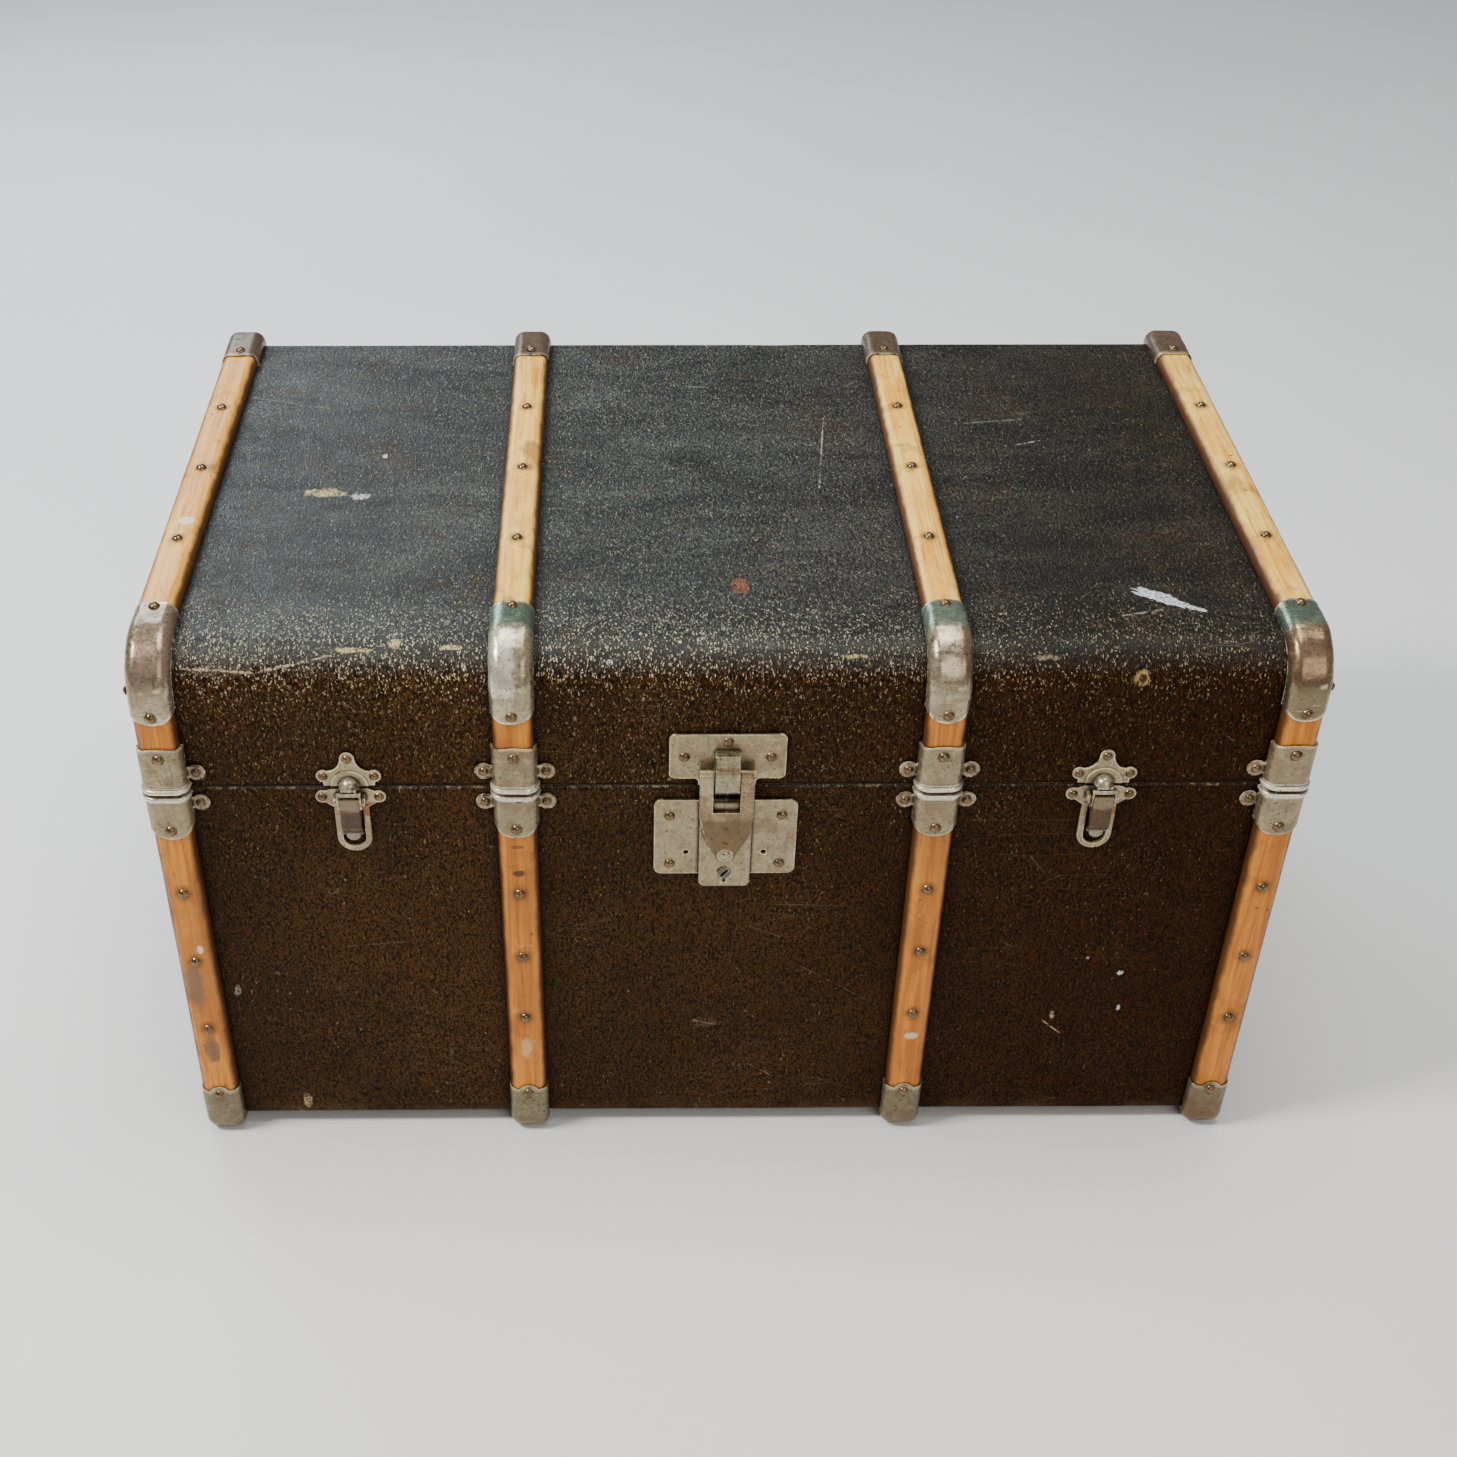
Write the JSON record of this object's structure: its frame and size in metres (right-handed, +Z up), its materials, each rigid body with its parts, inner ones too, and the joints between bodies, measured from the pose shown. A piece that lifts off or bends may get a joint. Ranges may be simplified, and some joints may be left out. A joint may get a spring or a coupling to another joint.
{
  "type": "steamer trunk",
  "caption": "Flat-topped travel trunk with wooden slats, riveted metal caps, centre hasp lock, two draw clasps, end handles and a hinged lid on a folding stay.",
  "frame": {"origin": "under the middle of the trunk, on the surface it stands on", "axes": "+Z up, +X to the right along the front, front faces -Y"},
  "size_m": [0.906, 0.544, 0.4889],
  "materials": {
    "covering": "embossed pebble grain, worn satin",
    "lining": "matte cotton paper",
    "plywood": "bare, matte",
    "slat_wood": "aged honey varnish",
    "zinc_plate": "tarnished plate",
    "rivet_brass": "browned",
    "leather": "waxed, worn",
    "dark_iron": "dull oxide",
    "lever_steel": "browned, worn"
  },
  "bodies": {
    "base": {"base_back_panel": "plywood", "base_back_slats": "slat_wood", "base_back_sleeves": "zinc_plate", "base_bottom_panel": "plywood", "base_covering": "covering", "base_front_panel": "plywood", "base_front_slats": "slat_wood", "base_front_sleeves": "zinc_plate", "base_left_panel": "plywood", "base_lining": "lining", "base_lip": "plywood", "base_right_panel": "plywood", "base_rivets": "rivet_brass", "bottom_caps": "zinc_plate", "bottom_slats": "slat_wood", "clasp_base_plate_left": "zinc_plate", "clasp_base_plate_right": "zinc_plate", "clasp_lever_pins": "zinc_plate", "handle_brackets": "dark_iron", "hinge_base_leaves": "dark_iron", "hinge_pins": "dark_iron", "lock_base_plate": "zinc_plate", "lock_box": "zinc_plate", "stay_base_bracket": "dark_iron"},
    "lid": {"clasp_star_plate_left": "zinc_plate", "clasp_star_plate_right": "zinc_plate", "hinge_lid_leaves": "dark_iron", "lid_back_caps": "zinc_plate", "lid_back_panel": "plywood", "lid_back_slats": "slat_wood", "lid_back_sleeves": "zinc_plate", "lid_bend_panel": "plywood", "lid_corner_caps": "zinc_plate", "lid_covering": "covering", "lid_front_panel": "plywood", "lid_front_slats": "slat_wood", "lid_front_sleeves": "zinc_plate", "lid_left_panel": "plywood", "lid_lining": "lining", "lid_right_panel": "plywood", "lid_rivets": "rivet_brass", "lid_top_panel": "plywood", "lid_top_slats": "slat_wood", "lock_bridge": "zinc_plate", "lock_top_plate": "zinc_plate", "stay_lid_bracket": "dark_iron"},
    "hasp": {"hasp": "zinc_plate"},
    "key_plug": {"lock_key_plug": "zinc_plate"},
    "lever_left": {"clasp_lever_left": "lever_steel"},
    "lever_right": {"clasp_lever_right": "lever_steel"},
    "hook_left": {"clasp_hook_left": "zinc_plate"},
    "hook_right": {"clasp_hook_right": "zinc_plate"},
    "handle_left": {"handle_bail_left": "dark_iron", "handle_grip_left": "leather"},
    "handle_right": {"handle_bail_right": "dark_iron", "handle_grip_right": "leather"},
    "stay_lower": {"stay_lower_bar": "dark_iron"},
    "stay_upper": {"stay_upper_bar": "dark_iron"}
  },
  "joints": [
    {"name": "lid_hinge", "type": "hinge", "parent": "base", "child": "lid", "pos_m": [0, 0.266, 0.37], "axis": [-1, 0, 0], "range_deg": [0, 100]},
    {"name": "stay_lower_pivot", "type": "hinge", "parent": "base", "child": "stay_lower", "pos_m": [-0.412, 0.17024, 0.28965], "axis": [-1, 0, 0], "range_deg": [0, 100]},
    {"name": "stay_elbow", "type": "hinge", "parent": "stay_lower", "child": "stay_upper", "pos_m": [-0.41, 0.05696, 0.34248], "axis": [1, 0, 0], "range_deg": [0, 100]},
    {"name": "hasp_hinge", "type": "hinge", "parent": "lid", "child": "hasp", "pos_m": [0, -0.265, 0.377], "axis": [-1, 0, 0], "range_deg": [0, 120]},
    {"name": "key_turn", "type": "hinge", "parent": "base", "child": "key_plug", "pos_m": [0, -0.262, 0.28], "axis": [0, -1, 0], "range_deg": [0, 90]},
    {"name": "clasp_lever_left", "type": "hinge", "parent": "base", "child": "lever_left", "pos_m": [-0.28, -0.2635, 0.351], "axis": [-1, 0, 0], "range_deg": [0, 100]},
    {"name": "clasp_hook_left", "type": "hinge", "parent": "lever_left", "child": "hook_left", "pos_m": [-0.28, -0.2635, 0.346], "axis": [1, 0, 0], "range_deg": [0, 100]},
    {"name": "clasp_lever_right", "type": "hinge", "parent": "base", "child": "lever_right", "pos_m": [0.28, -0.2635, 0.351], "axis": [-1, 0, 0], "range_deg": [0, 100]},
    {"name": "clasp_hook_right", "type": "hinge", "parent": "lever_right", "child": "hook_right", "pos_m": [0.28, -0.2635, 0.346], "axis": [1, 0, 0], "range_deg": [0, 100]},
    {"name": "handle_left", "type": "hinge", "parent": "base", "child": "handle_left", "pos_m": [-0.442, 0, 0.291], "axis": [0, 1, 0], "range_deg": [0, 110]},
    {"name": "handle_right", "type": "hinge", "parent": "base", "child": "handle_right", "pos_m": [0.442, 0, 0.291], "axis": [0, -1, 0], "range_deg": [0, 110]}
  ],
  "couplings": [
    {"joint": "stay_lower_pivot", "follows": "lid_hinge", "ratio": 1},
    {"joint": "stay_elbow", "follows": "lid_hinge", "ratio": 1},
    {"joint": "clasp_hook_left", "follows": "clasp_lever_left", "ratio": 1},
    {"joint": "clasp_hook_right", "follows": "clasp_lever_right", "ratio": 1}
  ]
}
